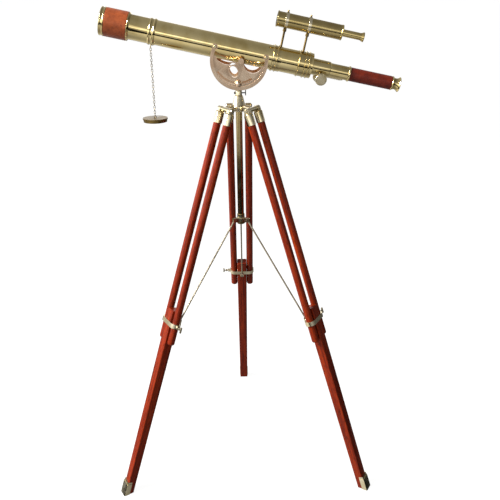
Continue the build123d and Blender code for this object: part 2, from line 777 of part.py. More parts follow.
# ---- focuser --------------------------------------------------------------------------------
pinion_drop = rack_pitch_drop + pinion_r
housing_half = 13.0
sleeve_tube = turned([
    (barrel_end, draw_r + run), (barrel_end, barrel_r + 1.2), (barrel_end + 2.5, barrel_r + 1.2),
    (barrel_end + 2.5, barrel_r - 1.5), (barrel_end + 3.5, sleeve_r + 1.5),
    (barrel_end + 5, sleeve_r), (sleeve_end - 5, sleeve_r - 0.5), (sleeve_end - 1.6, sleeve_r - 1.0),
    (sleeve_end, draw_r + 1.2), (sleeve_end, draw_r + run),
])
with BuildPart() as sleeve:
    add(sleeve_tube.part)
    with BuildSketch(across(pinion_at - 11)):
        with Locations((0, -pinion_drop)):
            RectangleRounded(2 * housing_half, 18, 6)
    extrude(amount=22)
    with BuildSketch(across(barrel_end - 1)):
        Circle(draw_r + run)
        with Locations((0, -rack_pitch_drop - 1.8)):
            Rectangle(9, 9, align=(Align.CENTER, Align.MIN))
    extrude(amount=sleeve_end - barrel_end + 4, mode=Mode.SUBTRACT)
    with BuildSketch(side_at(4.6)):
        with Locations((pinion_at, -pinion_drop)):
            Circle(pinion_r + 1.3)
    extrude(amount=-9.2, mode=Mode.SUBTRACT)
    with BuildSketch(side_at(housing_half + 1)):
        with Locations((pinion_at, -pinion_drop)):
            Circle(2.5 + run)
    extrude(amount=-2 * housing_half - 2, mode=Mode.SUBTRACT)
keep(sleeve, "focuser_sleeve")

tooth_pitch = 2 * pi * pinion_r / pinion_teeth
with BuildPart() as pinion:
    with BuildSketch(side_at(4.3)):
        with Locations((pinion_at, -pinion_drop)):
            Circle(pinion_r - 1.3)
            with PolarLocations(0, pinion_teeth, start_angle=90):
                with Locations((pinion_r - 0.3, 0)):
                    Trapezoid(1.9, 2.4, 73, rotation=-90)
    extrude(amount=-8.6)
    with BuildSketch(side_at(36)):
        with Locations((pinion_at, -pinion_drop)):
            Circle(2.5)
    extrude(amount=-72)
keep(pinion, "focus_pinion")

knob_near_face = 28.0
knob_thick = 9.0
with BuildPart() as focus_knobs:
    for facing in (1, -1):
        with BuildSketch(side_at(facing * knob_near_face)):
            with Locations((pinion_at, -pinion_drop)):
                Circle(knob_r)
                with PolarLocations(knob_r, 30):
                    Circle(0.9, mode=Mode.SUBTRACT)
        extrude(amount=facing * knob_thick)
        with BuildSketch(side_at(facing * (knob_near_face + knob_thick))):
            with Locations((pinion_at, -pinion_drop)):
                Circle(knob_r - 2.5)
        extrude(amount=facing * 1.6, taper=30)
        with BuildSketch(side_at(facing * (knob_near_face - 12))):
            with Locations((pinion_at, -pinion_drop)):
                Circle(5.0)
        extrude(amount=facing * 12)
        with BuildSketch(side_at(facing * (knob_near_face - 13))):
            with Locations((pinion_at, -pinion_drop)):
                Circle(2.5)
        extrude(amount=facing * 21, mode=Mode.SUBTRACT)
keep(focus_knobs, "focus_knobs")

draw_inner = draw_r - draw_wall
draw_start = 175.0
draw_tube = turned([
    (draw_start, draw_inner), (draw_start, draw_r), (draw_end, draw_r), (draw_end, draw_r + 1.8),
    (draw_end + 2, draw_r + 2.8), (draw_end + 4.5, draw_r + 2.8),
    (grip_start - 0.4, draw_r + 1.6), (grip_start - 0.4, draw_inner),
])
keep(draw_tube, "draw_tube")

rack_start = 195.0
rack_end = 335.0
with BuildPart() as rack:
    with BuildSketch(across(rack_start)):
        with Locations((0, -rack_pitch_drop + 1.3)):
            Rectangle(7.6, 8, align=(Align.CENTER, Align.MIN))
        Circle(draw_r, mode=Mode.SUBTRACT)
    extrude(amount=rack_end - rack_start)
    first = int((rack_start + 3 - pinion_at) / tooth_pitch)
    last = int((rack_end - 3 - pinion_at) / tooth_pitch)
    with BuildSketch(side_at(3.8)):
        for tooth in range(first, last):
            place = pinion_at + (tooth + 0.5) * tooth_pitch
            with Locations((place, -rack_pitch_drop + 0.3)):
                Trapezoid(1.9, 2.2, 73, rotation=180)
    extrude(amount=-7.6)
keep(rack, "focus_rack")

# ---- eyepiece slide -------------------------------------------------------------------------
grip_core_r = grip_r - grip_leather
eye_inner = draw_inner - run - 1.6
eyepiece_tube = turned([
    (draw_end - 65, eye_inner), (draw_end - 65, draw_inner - run),
    (grip_start, draw_inner - run), (grip_start, grip_core_r), (grip_end, grip_core_r),
    (grip_end, eye_inner),
])
keep(eyepiece_tube, "eyepiece_tube")

grip = turned([
    (grip_start, grip_core_r), (grip_start, grip_r - 0.6), (grip_start + 1, grip_r),
    (grip_end - 1, grip_r), (grip_end, grip_r - 0.6), (grip_end, grip_core_r),
])
keep(grip, "eyepiece_leather_grip")

with BuildPart() as eyecup:
    with BuildSketch(side_plane):
        with BuildLine():
            Polyline((grip_end + 16, 9), (grip_end + 16, eye_inner - 3), (grip_end, eye_inner - 3),
                     (grip_end, grip_r - 0.6), (grip_end + 1.2, grip_r + 0.6),
                     (grip_end + 3.8, grip_r + 0.6), (grip_end + 5.2, grip_r - 1.4))
            ThreePointArc((grip_end + 5.2, grip_r - 1.4), (grip_end + 11, grip_r - 3.6),
                          (eyecup_end - 4, grip_r))
            Polyline((eyecup_end - 4, grip_r), (eyecup_end - 1.4, grip_r + 2.4),
                     (eyecup_end, grip_r + 1.6), (eyecup_end, grip_r - 1.2))
            ThreePointArc((eyecup_end, grip_r - 1.2), (eyecup_end - 4.5, grip_r - 6.4),
                          (grip_end + 19, 9))
            Line((grip_end + 19, 9), (grip_end + 16, 9))
        make_face()
    revolve(axis=scope_axis)
keep(eyecup, "eyecup")

with BuildPart() as eye_lens:
    with BuildSketch(side_plane):
        add(lens_section(grip_end + 10, grip_end + 15.6, eye_inner - 3, 0.6, 1.6))
    revolve(axis=scope_axis)
keep(eye_lens, "eyepiece_lens")

# ---- finder ---------------------------------------------------------------------------------
finder_flange = 1.6
finder_body = turned([
    (finder_start, finder_inner), (finder_start, finder_r + finder_flange),
    (finder_start + 3, finder_r + finder_flange), (finder_start + 3, finder_r),
    (finder_end - 5, finder_r), (finder_end - 4, finder_r + 0.9), (finder_end, finder_r + 0.9),
    (finder_end, finder_draw_r + run), (finder_end - 4, finder_draw_r + run),
    (finder_end - 4, finder_inner),
], finder_axis, finder_up)
keep(finder_body, "finder_tube")

finder_draw = turned([
    (finder_end - 45, finder_draw_r - 1.6), (finder_end - 45, finder_draw_r),
    (finder_eye_end - 12, finder_draw_r), (finder_eye_end - 8, finder_draw_r + 0.8),
    (finder_eye_end - 3, finder_draw_r + 3.6), (finder_eye_end, finder_draw_r + 3.8),
    (finder_eye_end, finder_draw_r + 2.0), (finder_eye_end - 6, finder_draw_r - 5.2),
    (finder_eye_end - 9, finder_draw_r - 5.2), (finder_eye_end - 9, finder_draw_r - 1.6),
], finder_axis, finder_up)
keep(finder_draw, "finder_draw_tube")

finder_eye_lens = turned([
    (finder_eye_end - 13, 0.0), (finder_eye_end - 13, finder_draw_r - 1.6),
    (finder_eye_end - 9, finder_draw_r - 1.6), (finder_eye_end - 9, 0.0),
], finder_axis, finder_up)
keep(finder_eye_lens, "finder_eye_lens")

ring_wall = 2.6
ring_half = 4.5
with BuildPart() as finder_rings:
    for place in post_at:
        with BuildSketch(across(place - ring_half, finder_up)):
            Circle(finder_r + ring_wall)
            Circle(finder_r, mode=Mode.SUBTRACT)
        extrude(amount=2 * ring_half)
keep(finder_rings, "finder_rings")

with BuildPart() as finder_posts:
    for place in post_at:
        with BuildSketch(up_from(place, barrel_r)):
            Circle(post_r)
        extrude(amount=finder_up - finder_r - ring_wall - barrel_r + 2)
        with BuildSketch(up_from(place, finder_up - finder_r - ring_wall - 8)):
            RegularPolygon(5.6, 6)
        extrude(amount=10)
        with BuildSketch(up_from(place, finder_up + finder_r + 1)):
            Circle(2.0)
        extrude(amount=ring_wall + 2)
        with BuildSketch(up_from(place, finder_up + finder_r + ring_wall + 1.6)):
            Circle(3.2)
        extrude(amount=3.6, taper=8)
    for place in post_at:
        with BuildSketch(across(place - 8, finder_up)):
            Circle(finder_r + ring_wall)
        extrude(amount=16, mode=Mode.SUBTRACT)
keep(finder_posts, "finder_posts")

# ---- dust cap on its chain ------------------------------------------------------------------
def link_path(centre, sideways):
    """Closed stadium path of one chain link, upright, its flat side along the given way."""
    top = link_top
    plane = Plane(origin=centre, x_dir=sideways, z_dir=sideways.cross(Vector(0, 0, 1)))
    with BuildLine(plane) as path:
        Line((-link_half_width, -top), (-link_half_width, top))
        ThreePointArc((-link_half_width, top), (0, top + link_half_width),
                      (link_half_width, top))
        Line((link_half_width, top), (link_half_width, -top))
        ThreePointArc((link_half_width, -top), (0, -top - link_half_width),
                      (-link_half_width, -top))
    return path, plane


first_link = hook_centre - Vector(0, 0, eye_ring_r + link_hang + link_top)
with BuildPart() as chain:
    for k in range(chain_links):
        centre = first_link - Vector(0, 0, k * chain_pitch)
        sideways = Vector(1, 0, 0) if k % 2 == 0 else Vector(0, 1, 0)
        path, plane = link_path(centre, sideways)
        with BuildSketch(Plane(origin=centre - sideways * link_half_width,
                               x_dir=sideways, z_dir=(0, 0, 1))):
            Circle(chain_wire)
        sweep(path=path.wires()[0])
keep(chain, "cap_chain")

last_link = first_link - Vector(0, 0, (chain_links - 1) * chain_pitch)
cap_pivot = last_link - Vector(0, 0, link_top + link_hang)
cap_eye = cap_pivot - Vector(0, 0, eye_ring_r)
cap_top = cap_eye - Vector(0, 0, eye_ring_r + 0.2)
cap_base = Plane(origin=cap_top - Vector(0, 0, cap_depth), x_dir=(1, 0, 0), z_dir=(0, 0, 1))
with BuildPart() as dust_cap:
    with BuildSketch(cap_base.offset(cap_depth - cap_lip)):
        Circle(cap_r)
        with PolarLocations(cap_r, 60):
            Circle(0.8, mode=Mode.SUBTRACT)
    extrude(amount=cap_lip)
    with BuildSketch(cap_base):
        Circle(barrel_inner + 2.6)
    extrude(amount=cap_depth - cap_lip)
    with BuildSketch(cap_base):
        Circle(barrel_inner + 1.2)
    extrude(amount=cap_depth - 1.8, mode=Mode.SUBTRACT)
    with BuildSketch(Plane(origin=cap_top - Vector(0, 0, 0.5), x_dir=(1, 0, 0),
                           z_dir=(0, 0, 1))):
        Circle(3.0)
    extrude(amount=1.2)
    with BuildSketch(Plane(origin=cap_eye, x_dir=(1, 0, 0), z_dir=(0, 0, 1))):
        with Locations((eye_ring_r, 0)):
            Circle(eye_wire)
    revolve(axis=Axis(cap_eye, (0, 1, 0)))
keep(dust_cap, "dust_cap")
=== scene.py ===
import json
from math import cos, pi, radians, sin, tan

import bmesh
import bpy
import numpy as np
from mathutils import Matrix, Vector


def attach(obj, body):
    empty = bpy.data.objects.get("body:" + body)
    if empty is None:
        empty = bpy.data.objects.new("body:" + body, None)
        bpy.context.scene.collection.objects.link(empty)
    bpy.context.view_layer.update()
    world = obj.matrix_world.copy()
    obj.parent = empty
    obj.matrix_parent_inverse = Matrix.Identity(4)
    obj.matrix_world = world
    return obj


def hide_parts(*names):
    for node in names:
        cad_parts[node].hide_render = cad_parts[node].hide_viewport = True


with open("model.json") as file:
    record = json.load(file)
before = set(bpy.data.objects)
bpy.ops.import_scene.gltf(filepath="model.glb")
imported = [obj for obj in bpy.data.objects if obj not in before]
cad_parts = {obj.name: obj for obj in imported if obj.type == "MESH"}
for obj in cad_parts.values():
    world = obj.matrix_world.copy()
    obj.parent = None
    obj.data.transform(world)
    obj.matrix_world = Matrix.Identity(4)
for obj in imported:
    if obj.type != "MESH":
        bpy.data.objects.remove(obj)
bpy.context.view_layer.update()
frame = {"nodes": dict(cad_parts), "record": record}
nodes = frame["nodes"]
body_of_node = {
    node: body
    for body, members in frame["record"]["behaviour"]["bodies"].items()
    for node in members
}
slot_of_node = {part["node"]: part["material_slot"] for part in frame["record"]["subparts"]}

MM = 0.001

# ---- sizes shared with the frame, in metres --------------------------------------------------
LEGS = {"a": 210.0, "b": 330.0, "c": 90.0}
HINGE_HEIGHT = 1.321
HINGE_RADIUS = 0.0483
LEG_LEAN = radians(18.5)
ROD_RADIUS = 0.0125
ROD_APART = 0.062
ROD_TOP = 0.014
CLAMP_AT = 0.7277
ROD_BOTTOM = CLAMP_AT + 0.0703
BAR_TOP = CLAMP_AT - 0.0457
BAR_WIDTH = 0.0364
BAR_THICK = 0.031
BAR_TAPER = 0.5 * 0.36
TILT = radians(12.5)
TILT_AXIS = np.array([0.0, 0.0, 1.479])
TILT_DROP = 0.020
SCOPE_AXIS = np.array([cos(TILT), 0.0, -sin(TILT)])
SCOPE_UP = np.array([sin(TILT), 0.0, cos(TILT)])
SCOPE_CENTRE = TILT_AXIS + SCOPE_UP * TILT_DROP
WRAP_START = -0.4135
WRAP_END = -0.345
WRAP_RADIUS = 0.0428
WRAP_THICK = 0.003
GRIP_START = 0.353
GRIP_END = 0.4885
GRIP_RADIUS = 0.0212
GRIP_THICK = 0.002
AROUND = 96             # segments round a large turned piece


# ---- mesh building -------------------------------------------------------------------------
def unit(vector):
    return np.asarray(vector, float) / np.linalg.norm(vector)


def mesh_object(name, verts, faces, place=None, sharp=32.0):
    """A mesh from vertices and quads. Doubles are merged, which closes poles and seams, normals
    are made to point outwards, and edges that turn by more than the sharp angle stay crisp.
    place is stored on the vertices for the pattern to follow the surface."""
    mesh = bpy.data.meshes.new(name)
    mesh.from_pydata(verts.reshape(-1, 3).tolist(), [], faces.tolist())
    if place is not None:
        layer = mesh.attributes.new("place", "FLOAT_VECTOR", "POINT")
        layer.data.foreach_set("vector", np.ascontiguousarray(place, np.float32).ravel())
    build = bmesh.new()
    build.from_mesh(mesh)
    bmesh.ops.remove_doubles(build, verts=build.verts, dist=2e-7)
    bmesh.ops.dissolve_degenerate(build, edges=build.edges, dist=1e-8)
    bmesh.ops.recalc_face_normals(build, faces=build.faces)
    build.to_mesh(mesh)
    build.free()
    mesh.polygons.foreach_set("use_smooth", np.ones(len(mesh.polygons), bool))
    mesh.set_sharp_from_angle(angle=radians(sharp))
    piece = bpy.data.objects.new(name, mesh)
    bpy.context.scene.collection.objects.link(piece)
    return piece


def grid_faces(rows, columns, wrap_rows, wrap_columns):
    """Quads joining each point of a grid to its neighbours; a wrapped side joins last to first."""
    row = np.arange(rows if wrap_rows else rows - 1)
    column = np.arange(columns if wrap_columns else columns - 1)
    i, j = np.meshgrid(row, column, indexing="ij")
    i2, j2 = (i + 1) % rows, (j + 1) % columns
    corners = [i * columns + j, i2 * columns + j, i2 * columns + j2, i * columns + j2]
    return np.stack([corner.ravel() for corner in corners], axis=1)


def rounded(outline, radius, steps=3, closed=True):
    """An outline with each corner replaced by a short curve: from a point one radius before the
    corner to one after it, by the quadratic blend (1-t)^2 A + 2t(1-t) corner + t^2 B."""
    points = np.asarray(outline, float)
    count = len(points)
    t = np.linspace(0, 1, steps + 1)[:, None]
    out = []
    for k in range(count):
        if not closed and k in (0, count - 1):
            out.append(points[k][None])
            continue
        here, before, after = points[k], points[k - 1], points[(k + 1) % count]
        reach_1 = min(radius, 0.42 * np.linalg.norm(before - here))
        reach_2 = min(radius, 0.42 * np.linalg.norm(after - here))
        a = here + unit(before - here) * reach_1
        b = here + unit(after - here) * reach_2
        out.append((1 - t) ** 2 * a + 2 * t * (1 - t) * here + t ** 2 * b)
    return np.concatenate(out)


def spun(name, outline, centre, axis, up, radius=0.0004, closed=True, around=AROUND, ripple=None):
    """A turned piece: point (along, radius) of the outline goes to centre + along * axis +
    radius * (cos a * up + sin a * side), for every angle a of a full turn. An open outline
    starts and ends on the axis. ripple(along, a) may add to the radius."""
    profile = rounded(outline, radius, closed=closed)
    axis, up = unit(axis), unit(up)
    side = np.cross(axis, up)
    turn = np.linspace(0, 2 * pi, around, endpoint=False)
    along, turn = np.meshgrid(profile[:, 0], turn, indexing="ij")
    distance = np.repeat(profile[:, 1][:, None], around, axis=1)
    if ripple is not None:
        distance = distance + ripple(along, turn, distance)
    verts = (np.asarray(centre) + along[..., None] * axis
             + (distance * np.cos(turn))[..., None] * up
             + (distance * np.sin(turn))[..., None] * side)
    place = np.stack([along, turn * distance.max(), distance], axis=-1)
    faces = grid_faces(len(profile), around, closed, True)
    return mesh_object(name, verts, faces, place)


def finish_piece(piece, part):
    """The piece rides on the body of the part that it stands for and takes its finish."""
    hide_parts(part)
    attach(piece, body_of_node[part])
    piece.data.materials.clear()
    piece.data.materials.append(finishes[slot_of_node[part]])
    return piece


def dressed(part, edge=0.4 * MM):
    """A copy of a cast or machined part with its doubles merged and its sharp edges eased."""
    mesh = nodes[part].data.copy()
    mesh.name = part + "_eased"
    build = bmesh.new()
    build.from_mesh(mesh)
    bmesh.ops.remove_doubles(build, verts=build.verts, dist=1e-6)
    bmesh.ops.dissolve_limit(build, angle_limit=radians(0.6), verts=build.verts,
                             edges=build.edges)
    build.to_mesh(mesh)
    build.free()
    mesh.polygons.foreach_set("use_smooth", np.ones(len(mesh.polygons), bool))
    mesh.set_sharp_from_angle(angle=radians(30))
    piece = bpy.data.objects.new(mesh.name, mesh)
    bpy.context.scene.collection.objects.link(piece)
    if edge:
        bevel = piece.modifiers.new("eased edges", "BEVEL")
        bevel.width = edge
        bevel.segments = 2
        bevel.limit_method = "ANGLE"
        bevel.angle_limit = radians(35)
        bevel.harden_normals = True
    return finish_piece(piece, part)


# ---- materials -----------------------------------------------------------------------------
def linear(hex_colour):
    """An sRGB hex value as linear red, green, blue and an alpha of one."""
    value = np.array([int(hex_colour[k:k + 2], 16) for k in (1, 3, 5)]) / 255.0
    value = np.where(value <= 0.04045, value / 12.92, ((value + 0.055) / 1.055) ** 2.4)
    return (*value.tolist(), 1.0)


def node(tree, kind, settings=None, inputs=None, links=None):
    """Adds one node: its settings, its inputs' constants, and links from other nodes' sockets."""
    made = tree.nodes.new(kind)
    for key, value in (settings or {}).items():
        setattr(made, key, value)
    for key, value in (inputs or {}).items():
        made.inputs[key].default_value = value
    for key, socket in (links or {}).items():
        tree.links.new(socket, made.inputs[key])
    return made


def ramp_of(tree, factor, stops):
    """A colour ramp through the given (position, colour) stops."""
    made = node(tree, "ShaderNodeValToRGB", links={"Fac": factor})
    elements = made.color_ramp.elements
    while len(elements) < len(stops):
        elements.new(0.5)
    for element, (position, colour) in zip(elements, stops):
        element.position = position
        element.color = colour
    return made


def new_material(name):
    material = bpy.data.materials.new(name)
    material.use_nodes = True
    tree = material.node_tree
    tree.nodes.clear()
    shader = node(tree, "ShaderNodeBsdfPrincipled")
    node(tree, "ShaderNodeOutputMaterial", links={"Surface": shader.outputs["BSDF"]})
    return material, tree, shader


def grey(value):
    return (value, value, value, 1.0)


def brass(name, light, deep, roughness, hollow_shade=0.25, grit=0.10, bump=0.02, streak_mm=0.0):
    """Brass, a copper and zinc alloy, cast or drawn, polished on a wheel and lacquered. The
    polish leaves faint cloudy smears and hairlines; its hollows are darkened as painted shade."""
    material, tree, shader = new_material(name)
    place = node(tree, "ShaderNodeTexCoord")
    clouds = node(tree, "ShaderNodeTexNoise",
                  inputs={"Scale": 1 / (45 * MM), "Detail": 4.0, "Roughness": 0.55},
                  links={"Vector": place.outputs["Object"]})
    specks = node(tree, "ShaderNodeTexNoise",
                  inputs={"Scale": 1 / (2.5 * MM), "Detail": 3.0, "Roughness": 0.6},
                  links={"Vector": place.outputs["Object"]})
    curvature = node(tree, "ShaderNodeNewGeometry")
    colour = ramp_of(tree, clouds.outputs["Fac"],
                     [(0.30, linear(deep)), (0.62, linear(light))])
    # painted shade: hollows (low pointiness) are darkened by the given amount, a quarter by default, flat
    # faces by half as much and convex edges not at all
    pointiness_tone = ramp_of(tree, curvature.outputs["Pointiness"],
                   [(0.47, grey(1.0 - hollow_shade)), (0.53, grey(1.0))])
    tone = node(tree, "ShaderNodeMix", {"data_type": "RGBA", "blend_type": "MULTIPLY"},
                {"Factor": 1.0},
                {"A": colour.outputs["Color"], "B": pointiness_tone.outputs["Color"]})
    tree.links.new(tone.outputs["Result"], shader.inputs["Base Color"])
    rough = node(tree, "ShaderNodeMapRange",
                 inputs={"From Min": 0.35, "From Max": 0.7, "To Min": roughness - grit / 2,
                         "To Max": roughness + grit / 2},
                 links={"Value": clouds.outputs["Fac"]})
    tree.links.new(rough.outputs["Result"], shader.inputs["Roughness"])
    dent = node(tree, "ShaderNodeBump", inputs={"Strength": bump, "Distance": 0.3 * MM},
                links={"Height": specks.outputs["Fac"]})
    tree.links.new(dent.outputs["Normal"], shader.inputs["Normal"])
    shader.inputs["Metallic"].default_value = 1.0
    return material


def mahogany():
    """Varnished mahogany: straight brown-red grain with dark open pores a millimetre apart along
    the stick, stained, under a gloss varnish that shows as a clear coat."""
    material, tree, shader = new_material("varnished_mahogany")
    place = node(tree, "ShaderNodeAttribute", {"attribute_name": "place"})
    grain_at = node(tree, "ShaderNodeMapping", inputs={"Scale": (1.0, 1.0, 0.045)},
                    links={"Vector": place.outputs["Vector"]})
    figure = node(tree, "ShaderNodeTexNoise",
                  inputs={"Scale": 1 / (9 * MM), "Detail": 5.0, "Roughness": 0.6,
                          "Distortion": 0.6},
                  links={"Vector": grain_at.outputs["Vector"]})
    pore_at = node(tree, "ShaderNodeMapping", inputs={"Scale": (1.0, 1.0, 0.06)},
                   links={"Vector": place.outputs["Vector"]})
    pores = node(tree, "ShaderNodeTexNoise",
                 inputs={"Scale": 1 / (1.3 * MM), "Detail": 2.0, "Roughness": 0.5},
                 links={"Vector": pore_at.outputs["Vector"]})
    colour = ramp_of(tree, figure.outputs["Fac"],
                     [(0.28, linear("#4A1003")), (0.47, linear("#741F05")),
                      (0.60, linear("#842807")), (0.75, linear("#98340A"))])
    pore = ramp_of(tree, pores.outputs["Fac"], [(0.36, grey(0.35)), (0.46, grey(1.0))])
    tone = node(tree, "ShaderNodeMix", {"data_type": "RGBA", "blend_type": "MULTIPLY"},
                {"Factor": 1.0}, {"A": colour.outputs["Color"], "B": pore.outputs["Color"]})
    tree.links.new(tone.outputs["Result"], shader.inputs["Base Color"])
    rough = node(tree, "ShaderNodeMapRange",
                 inputs={"From Min": 0.3, "From Max": 0.7, "To Min": 0.30, "To Max": 0.42},
                 links={"Value": pores.outputs["Fac"]})
    tree.links.new(rough.outputs["Result"], shader.inputs["Roughness"])
    dent = node(tree, "ShaderNodeBump", inputs={"Strength": 0.12, "Distance": 0.2 * MM},
                links={"Height": pores.outputs["Fac"]})
    tree.links.new(dent.outputs["Normal"], shader.inputs["Normal"])
    shader.inputs["Specular IOR Level"].default_value = 0.12
    shader.inputs["Coat Weight"].default_value = 0.06
    shader.inputs["Coat Roughness"].default_value = 0.18
    return material


def leather(name, light, mid, dark, roughness):
    """Waxed cowhide, vegetable tanned: pebbled grain under a millimetre wide, darker in the
    creases, rubbed paler where hands hold it, with a soft sheen from the wax."""
    material, tree, shader = new_material(name)
    place = node(tree, "ShaderNodeTexCoord")
    pebbles = node(tree, "ShaderNodeTexVoronoi", {"feature": "SMOOTH_F1"},
                   {"Scale": 1 / (1.5 * MM), "Smoothness": 0.4, "Randomness": 1.0},
                   {"Vector": place.outputs["Object"]})
    rubbed = node(tree, "ShaderNodeTexNoise",
                  inputs={"Scale": 1 / (22 * MM), "Detail": 5.0, "Roughness": 0.6},
                  links={"Vector": place.outputs["Object"]})
    colour = ramp_of(tree, rubbed.outputs["Fac"],
                     [(0.30, linear(dark)), (0.50, linear(mid)), (0.72, linear(light))])
    crease = ramp_of(tree, pebbles.outputs["Distance"],
                     [(0.15, grey(1.0)), (0.75, grey(0.62))])
    tone = node(tree, "ShaderNodeMix", {"data_type": "RGBA", "blend_type": "MULTIPLY"},
                {"Factor": 0.8}, {"A": colour.outputs["Color"], "B": crease.outputs["Color"]})
    tree.links.new(tone.outputs["Result"], shader.inputs["Base Color"])
    rough = node(tree, "ShaderNodeMapRange",
                 inputs={"From Min": 0.3, "From Max": 0.7, "To Min": roughness + 0.08,
                         "To Max": roughness - 0.06},
                 links={"Value": rubbed.outputs["Fac"]})
    tree.links.new(rough.outputs["Result"], shader.inputs["Roughness"])
    dent = node(tree, "ShaderNodeBump", {"invert": True},
                {"Strength": 0.35, "Distance": 0.25 * MM},
                {"Height": pebbles.outputs["Distance"]})
    tree.links.new(dent.outputs["Normal"], shader.inputs["Normal"])
    shader.inputs["Specular IOR Level"].default_value = 0.25
    shader.inputs["Sheen Weight"].default_value = 0.04
    shader.inputs["Sheen Roughness"].default_value = 0.4
    return material


def thread():
    """Waxed linen thread, twisted from plies: pale tan with darker grooves between the plies."""
    material, tree, shader = new_material("waxed_linen_thread")
    place = node(tree, "ShaderNodeTexCoord")
    plies = node(tree, "ShaderNodeTexWave", {"bands_direction": "DIAGONAL"},
                 {"Scale": 1 / (1.2 * MM), "Distortion": 0.4},
                 {"Vector": place.outputs["Object"]})
    colour = ramp_of(tree, plies.outputs["Fac"],
                     [(0.1, linear("#6E3A1E")), (0.7, linear("#B98252"))])
    tree.links.new(colour.outputs["Color"], shader.inputs["Base Color"])
    shader.inputs["Roughness"].default_value = 0.6
    return material


def coated_glass():
    """Optical crown glass with a faint green anti-reflection coat."""
    material, tree, shader = new_material("coated_optical_glass")
    place = node(tree, "ShaderNodeTexCoord")
    haze = node(tree, "ShaderNodeTexNoise", inputs={"Scale": 1 / (12 * MM), "Detail": 3.0},
                links={"Vector": place.outputs["Object"]})
    rough = node(tree, "ShaderNodeMapRange",
                 inputs={"From Min": 0.3, "From Max": 0.7, "To Min": 0.01, "To Max": 0.06},
                 links={"Value": haze.outputs["Fac"]})
    tree.links.new(rough.outputs["Result"], shader.inputs["Roughness"])
    shader.inputs["Base Color"].default_value = linear("#DCEFE6")
    shader.inputs["IOR"].default_value = 1.52
    shader.inputs["Transmission Weight"].default_value = 0.9
    return material


def black_lacquer():
    """Steel screws dipped in black lacquer, worn to grey on their edges."""
    material, tree, shader = new_material("black_lacquered_steel")
    place = node(tree, "ShaderNodeTexCoord")
    geometry = node(tree, "ShaderNodeNewGeometry")
    pointiness_tone = ramp_of(tree, geometry.outputs["Pointiness"],
                   [(0.52, linear("#1C1712")), (0.60, linear("#6B5A3C"))])
    tree.links.new(pointiness_tone.outputs["Color"], shader.inputs["Base Color"])
    mottle = node(tree, "ShaderNodeTexNoise", inputs={"Scale": 1 / (3 * MM), "Detail": 3.0},
                  links={"Vector": place.outputs["Object"]})
    rough = node(tree, "ShaderNodeMapRange", inputs={"To Min": 0.25, "To Max": 0.5},
                 links={"Value": mottle.outputs["Fac"]})
    tree.links.new(rough.outputs["Result"], shader.inputs["Roughness"])
    shader.inputs["Metallic"].default_value = 0.8
    return material


def blackened_inside():
    """Matt black optical paint inside the tubes, a little dusty."""
    material, tree, shader = new_material("matt_black_inside")
    place = node(tree, "ShaderNodeTexCoord")
    dust = node(tree, "ShaderNodeTexNoise", inputs={"Scale": 1 / (4 * MM), "Detail": 4.0},
                links={"Vector": place.outputs["Object"]})
    colour = ramp_of(tree, dust.outputs["Fac"],
                     [(0.4, linear("#0C0B0A")), (0.75, linear("#1D1A17"))])
    tree.links.new(colour.outputs["Color"], shader.inputs["Base Color"])
    shader.inputs["Roughness"].default_value = 0.85
    return material


finishes = {
    "polished_brass": brass("wheel_polished_brass", "#E9D59C", "#D3BB7C", 0.09),
    "cast_brass": brass("polished_brass_casting", "#E6DABB", "#CDBD92", 0.20, bump=0.05),
    "rose_brass": brass("polished_rose_brass", "#F3D9BC", "#DDB795", 0.16, bump=0.04),
    "dull_brass": brass("satin_brass_tube", "#D2BC80", "#B59E62", 0.18),
    "dark_brass": brass("darkened_brass", "#8C7442", "#4A3B22", 0.32, bump=0.05),
    "grey_brass": brass("satin_grey_brass", "#BDB298", "#93886F", 0.28),
    "mahogany": mahogany(),
    "tan_leather": leather("waxed_tan_leather", "#A4532C", "#944722", "#793717", 0.40),
    "dark_leather": leather("waxed_dark_leather", "#7A2814", "#6A2010", "#52170C", 0.42),
    "black_brass": black_lacquer(),
    "lens_glass": coated_glass(),
}
stitch_thread = thread()
inside_black = blackened_inside()

# ---- every node gets its finish; most are then replaced by finer pieces -------------------------
for name, cad in nodes.items():
    cad.data.materials.clear()
    cad.data.materials.append(finishes[slot_of_node[name]])


# ---- legs ------------------------------------------------------------------------------------
def leg_frame(leg):
    """Hinge point, direction down the leg, along the hinge, and outwards across the leg."""
    azimuth = radians(LEGS[leg])
    radial = np.array([cos(azimuth), sin(azimuth), 0.0])
    along_hinge = np.array([-sin(azimuth), cos(azimuth), 0.0])
    down = radial * sin(LEG_LEAN) - np.array([0.0, 0.0, 1.0]) * cos(LEG_LEAN)
    hinge = radial * HINGE_RADIUS + np.array([0.0, 0.0, HINGE_HEIGHT])
    return hinge, down, along_hinge, np.cross(along_hinge, down)


